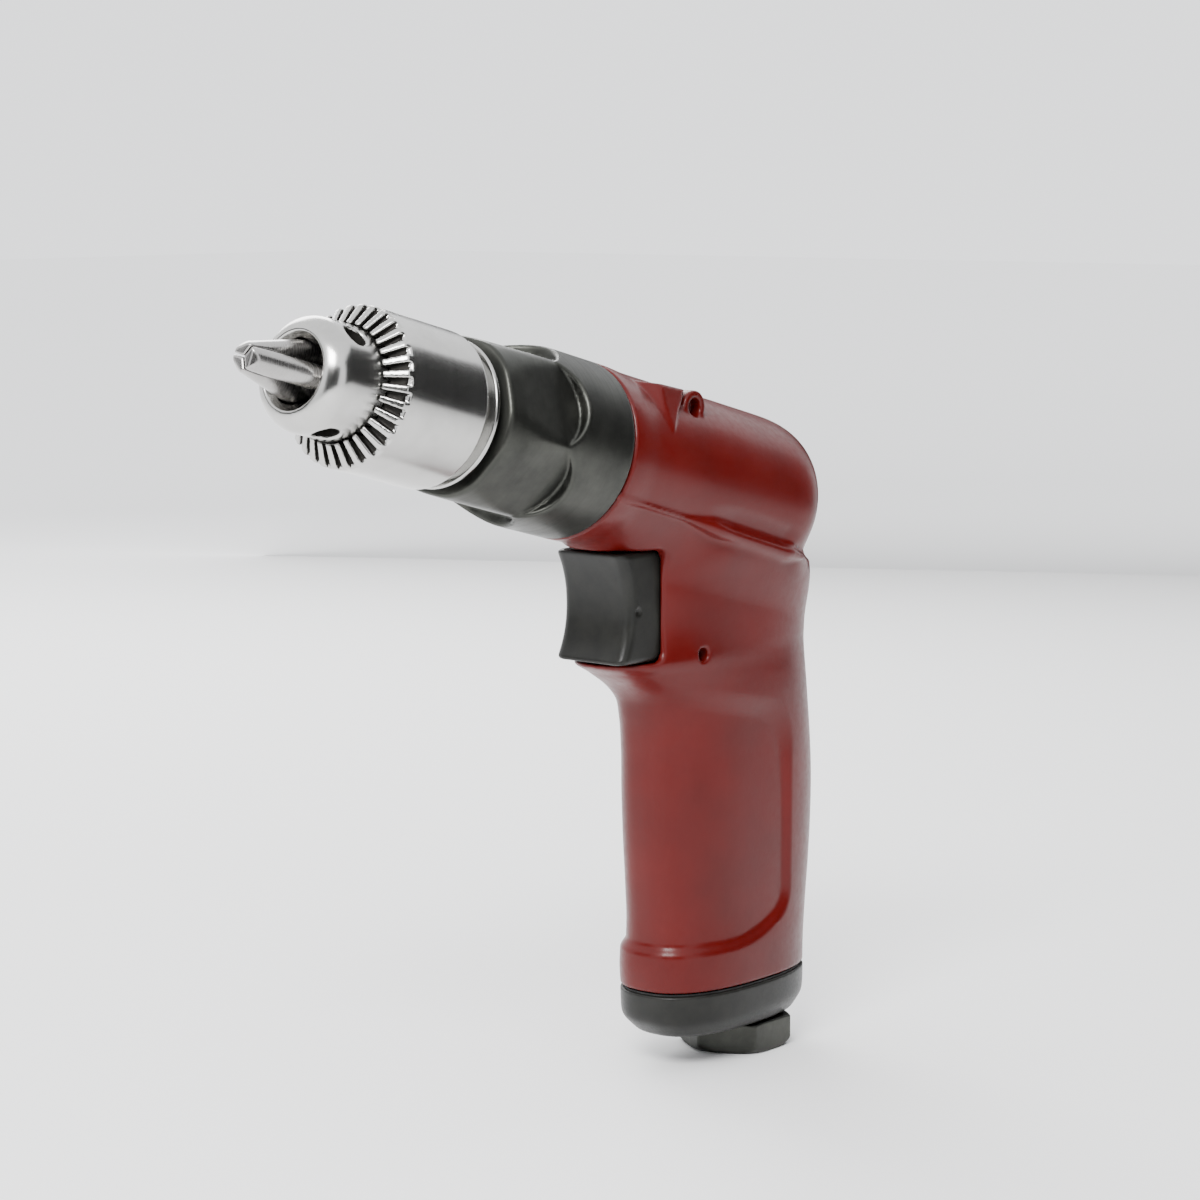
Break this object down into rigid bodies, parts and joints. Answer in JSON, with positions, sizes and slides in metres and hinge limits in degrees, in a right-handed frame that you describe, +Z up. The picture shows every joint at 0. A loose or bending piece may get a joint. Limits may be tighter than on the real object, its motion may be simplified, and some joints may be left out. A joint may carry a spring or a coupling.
{
  "type": "pneumatic pistol-grip drill",
  "caption": "Compact air-powered pistol-grip drill with a keyed three-jaw chuck, dark steel gear case, red housing and bottom air inlet.",
  "frame": {"origin": "middle of the tool's bounding box in plan, level with the bottom face of the air inlet bushing", "axes": "+Z up along the handle and the air inlet's axis, -X ahead where the chuck points (the barrel's axis is tilted 14.5 degrees up from it), -Y the tool's left side"},
  "size_m": [0.191, 0.0428, 0.1919],
  "materials": {
    "red_paint": "satin baked enamel on a cast aluminium housing",
    "black_oxide": "dark oxide finish on turned steel, worn along its edges",
    "bright_steel": "turned and polished steel",
    "ground_steel": "ground steel",
    "bearing_steel": "ground bearing steel",
    "black_plastic": "moulded nylon with a fine texture",
    "rubber": "nitrile rubber",
    "brass": "turned brass",
    "phenolic": "phenolic cloth laminate",
    "felt": "pressed felt"
  },
  "bodies": {
    "housing": {"motor_housing": "red_paint", "handle_cap": "black_plastic", "cap_gasket": "rubber", "exhaust_silencer": "felt", "inlet_bushing": "black_oxide", "inlet_screen": "brass", "inlet_o_ring": "rubber", "rod_guide": "brass", "rod_seal": "rubber", "guide_pin": "ground_steel", "valve_seat": "brass", "spring_seat": "brass", "motor_cylinder": "ground_steel", "front_end_plate": "ground_steel", "rear_end_plate": "ground_steel", "rotor_bearing_front": "bearing_steel", "rotor_bearing_rear": "bearing_steel", "motor_dowel": "ground_steel", "gear_case": "black_oxide", "gear_spacer": "ground_steel", "ring_gear": "ground_steel", "spindle_bearing_rear": "bearing_steel", "spindle_bearing_front": "bearing_steel", "spindle_seal": "rubber"},
    "rotor": {"rotor": "ground_steel", "vane_1": "phenolic", "vane_2": "phenolic", "vane_3": "phenolic", "vane_4": "phenolic", "vane_5": "phenolic"},
    "spindle": {"spindle": "ground_steel", "planet_pin_1": "bearing_steel", "planet_pin_2": "bearing_steel", "planet_pin_3": "bearing_steel", "spindle_washer": "bright_steel", "chuck_body": "bright_steel"},
    "planet_1": {"planet_gear_1": "ground_steel"},
    "planet_2": {"planet_gear_2": "ground_steel"},
    "planet_3": {"planet_gear_3": "ground_steel"},
    "sleeve": {"chuck_sleeve": "bright_steel", "chuck_nut": "ground_steel"},
    "jaw_1": {"jaw_1": "ground_steel"},
    "jaw_2": {"jaw_2": "ground_steel"},
    "jaw_3": {"jaw_3": "ground_steel"},
    "trigger": {"trigger": "black_plastic", "trigger_rod": "ground_steel", "trigger_spring": "ground_steel"},
    "valve": {"throttle_valve": "brass", "valve_spring": "ground_steel"}
  },
  "joints": [
    {"name": "spindle_spin", "type": "hinge", "parent": "housing", "child": "spindle", "pos_m": [0.072, 0, 0.1391], "axis": [-0.9681, 0, 0.2504], "continuous": true},
    {"name": "rotor_spin", "type": "hinge", "parent": "housing", "child": "rotor", "pos_m": [0.072, 0, 0.1391], "axis": [-0.9681, 0, 0.2504], "continuous": true},
    {"name": "planet_1_spin", "type": "hinge", "parent": "spindle", "child": "planet_1", "pos_m": [-0.00342, 0, 0.16697], "axis": [-0.9681, 0, 0.2504], "continuous": true},
    {"name": "planet_2_spin", "type": "hinge", "parent": "spindle", "child": "planet_2", "pos_m": [-0.00647, 0.00702, 0.15521], "axis": [-0.9681, 0, 0.2504], "continuous": true},
    {"name": "planet_3_spin", "type": "hinge", "parent": "spindle", "child": "planet_3", "pos_m": [-0.00647, -0.00702, 0.15521], "axis": [-0.9681, 0, 0.2504], "continuous": true},
    {"name": "sleeve_turn", "type": "hinge", "parent": "spindle", "child": "sleeve", "pos_m": [0.072, 0, 0.1391], "axis": [-0.9681, 0, 0.2504], "range_deg": [0, 4590]},
    {"name": "jaw_1_slide", "type": "slide", "parent": "spindle", "child": "jaw_1", "axis": [0.9289, -0.2382, -0.2836], "range_m": [0, 0.018]},
    {"name": "jaw_2_slide", "type": "slide", "parent": "spindle", "child": "jaw_2", "axis": [0.893, 0.1555, -0.4224], "range_m": [0, 0.018]},
    {"name": "jaw_3_slide", "type": "slide", "parent": "spindle", "child": "jaw_3", "axis": [0.9963, 0.0827, -0.0229], "range_m": [0, 0.018]},
    {"name": "trigger_slide", "type": "slide", "parent": "housing", "child": "trigger", "axis": [1, 0, 0], "range_m": [0, 0.005], "stiffness_N_per_m": 600, "springref_m": -0.01},
    {"name": "valve_tilt", "type": "hinge", "parent": "housing", "child": "valve", "pos_m": [0.0664, 0, 0.0836], "axis": [0, 1, 0], "range_deg": [0, 10]}
  ],
  "couplings": [
    {"joint": "rotor_spin", "follows": "spindle_spin", "ratio": 4.5},
    {"joint": "planet_1_spin", "follows": "spindle_spin", "ratio": -2.8},
    {"joint": "planet_2_spin", "follows": "spindle_spin", "ratio": -2.8},
    {"joint": "planet_3_spin", "follows": "spindle_spin", "ratio": -2.8},
    {"joint": "jaw_1_slide", "follows": "sleeve_turn", "m_per_rad": 0.00022465},
    {"joint": "jaw_2_slide", "follows": "sleeve_turn", "m_per_rad": 0.00022465},
    {"joint": "jaw_3_slide", "follows": "sleeve_turn", "m_per_rad": 0.00022465},
    {"joint": "valve_tilt", "follows": "trigger_slide", "rad_per_m": 34.9}
  ]
}
